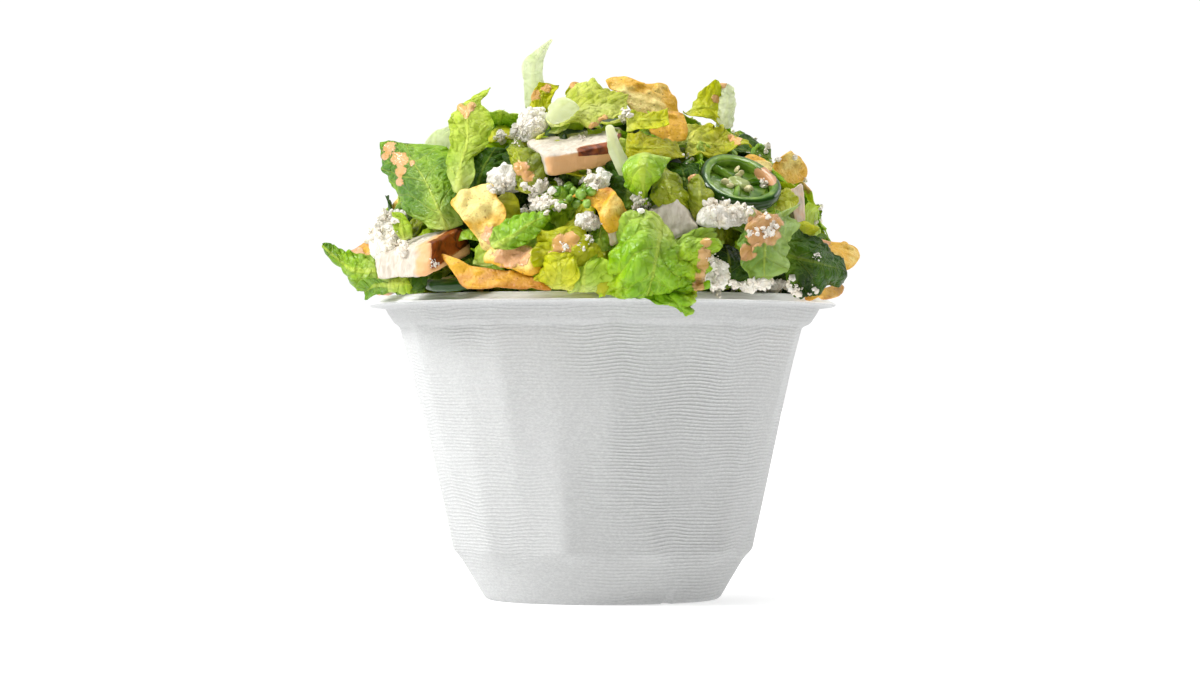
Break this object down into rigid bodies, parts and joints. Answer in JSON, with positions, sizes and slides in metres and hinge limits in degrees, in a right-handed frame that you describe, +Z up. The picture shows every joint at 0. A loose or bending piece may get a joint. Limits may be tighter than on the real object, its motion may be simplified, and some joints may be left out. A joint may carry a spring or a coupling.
{
  "type": "cup of caesar salad",
  "caption": "Deep moulded-fibre cup with a faceted wall, heaped with torn romaine, grilled chicken, tortilla chips, pepper slices and crumbled cheese in a creamy dressing.",
  "frame": {"origin": "under the middle of the cup's foot, on the surface that the cup stands on", "axes": "+Z up along the cup's axis; -Y towards the front that the picture shows; +X to the right seen from the front"},
  "size_m": [0.2, 0.1981, 0.2089],
  "materials": {
    "moulded_fibre": "matte grey-white moulded pulp",
    "salad_leaves": "fresh torn leaf, moist",
    "fried_chip": "dry fried corn",
    "grilled_chicken": "moist cooked meat with a browned side",
    "green_pepper": "glossy wet pepper",
    "white_cheese": "matte crumbling cheese"
  },
  "bodies": {
    "root": {"cup": "moulded_fibre", "salad_heap": "salad_leaves", "chip_left": "fried_chip", "chip_folded": "fried_chip", "chip_rim": "fried_chip", "chip_dressed": "fried_chip", "chip_top": "fried_chip", "chip_under_top": "fried_chip", "chip_right": "fried_chip", "chip_behind_slice": "fried_chip", "chip_far_right": "fried_chip", "chip_low_right": "fried_chip", "chip_far_left": "fried_chip", "chip_rear_right": "fried_chip", "chip_rear_rim": "fried_chip", "chip_rear_high": "fried_chip", "chip_rear_left": "fried_chip", "chip_side_left": "fried_chip", "chicken_left": "grilled_chicken", "chicken_top": "grilled_chicken", "chicken_centre": "grilled_chicken", "chicken_bit": "grilled_chicken", "chicken_right": "grilled_chicken", "chicken_rear": "grilled_chicken", "chicken_rear_left": "grilled_chicken", "chicken_rear_right": "grilled_chicken", "jalapeno_right": "green_pepper", "jalapeno_behind": "green_pepper", "jalapeno_rim_left": "green_pepper", "jalapeno_rear_low": "green_pepper", "jalapeno_rear_high": "green_pepper", "cheese_left": "white_cheese", "cheese_middle": "white_cheese", "cheese_right": "white_cheese", "cheese_rim": "white_cheese", "cheese_low": "white_cheese", "cheese_top": "white_cheese", "cheese_big_left": "white_cheese", "cheese_spill": "white_cheese", "cheese_rear_1": "white_cheese", "cheese_rear_2": "white_cheese", "cheese_rear_3": "white_cheese", "cheese_rear_4": "white_cheese", "cheese_rear_5": "white_cheese"}
  },
  "joints": []
}
